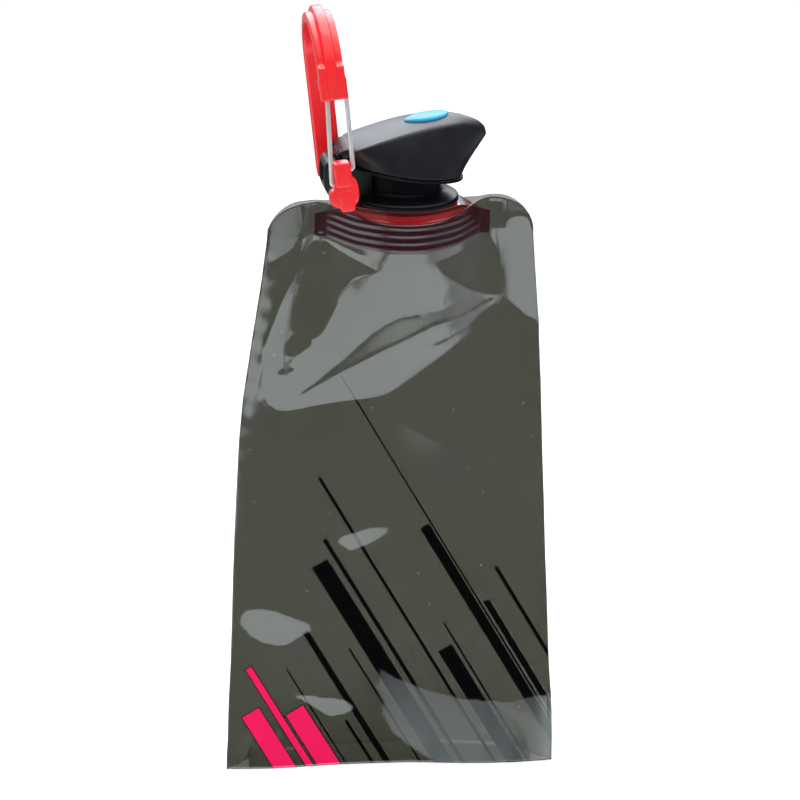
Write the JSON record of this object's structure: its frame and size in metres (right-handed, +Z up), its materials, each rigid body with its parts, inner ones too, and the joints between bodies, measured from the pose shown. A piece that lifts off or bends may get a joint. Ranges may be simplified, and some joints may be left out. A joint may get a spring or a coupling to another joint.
{
  "type": "collapsible water bag",
  "caption": "Flat stand-up water bag of clear smoke film with a red welded spout, a black screw cap with flip lid over a drinking nozzle, and a red carabiner with a wire gate.",
  "frame": {"origin": "middle of the bag's bottom edge, on the ground", "axes": "+Z up through the spout, +X the way the flip lid points, +Y from the bag's front panel to its back panel"},
  "size_m": [0.1204, 0.044, 0.2821],
  "materials": {
    "smoke_film": "glossy see-through smoke film",
    "red_plastic": "moulded red plastic with a soft shine",
    "black_plastic": "fine satin black plastic",
    "blue_soft": "soft blue thumb pad",
    "clear_soft": "milky soft seal",
    "wire_steel": "drawn steel wire"
  },
  "bodies": {
    "bag": {"front_panel": "smoke_film", "back_panel": "smoke_film", "bottom_gusset": "smoke_film", "spout": "red_plastic"},
    "seal": {"cap_gasket": "clear_soft"},
    "cap": {"cap_body": "black_plastic", "drinking_nozzle": "clear_soft", "lid_hinge_pin": "wire_steel"},
    "flip_lid": {"lid": "black_plastic", "lid_plug": "clear_soft", "lid_pad": "blue_soft"},
    "carabiner": {"carabiner_frame": "red_plastic"},
    "gate": {"gate_wire": "wire_steel"}
  },
  "joints": [
    {"name": "cap_lift", "type": "slide", "parent": "bag", "child": "seal", "axis": [0, 0, 1], "range_m": [0, 0.01]},
    {"name": "cap_turn", "type": "hinge", "parent": "seal", "child": "cap", "pos_m": [0, 0, 0.2138], "axis": [0, 0, 1], "range_deg": [0, 1501]},
    {"name": "lid_hinge", "type": "hinge", "parent": "cap", "child": "flip_lid", "pos_m": [-0.0223, 0, 0.2306], "axis": [0, -1, 0], "range_deg": [0, 78]},
    {"name": "carabiner_swing", "type": "hinge", "parent": "cap", "child": "carabiner", "pos_m": [-0.025, 0, 0.2223], "axis": [0, -1, 0], "range_deg": [0, 125]},
    {"name": "gate_swing", "type": "hinge", "parent": "carabiner", "child": "gate", "pos_m": [-0.02525, -0.0193, 0.22418], "axis": [-0.9917, 0, -0.1288], "range_deg": [0, 10], "stiffness_Nm_per_rad": 0.05, "springref_deg": -5.73}
  ],
  "couplings": [
    {"joint": "cap_turn", "follows": "cap_lift", "rad_per_m": 2618}
  ]
}
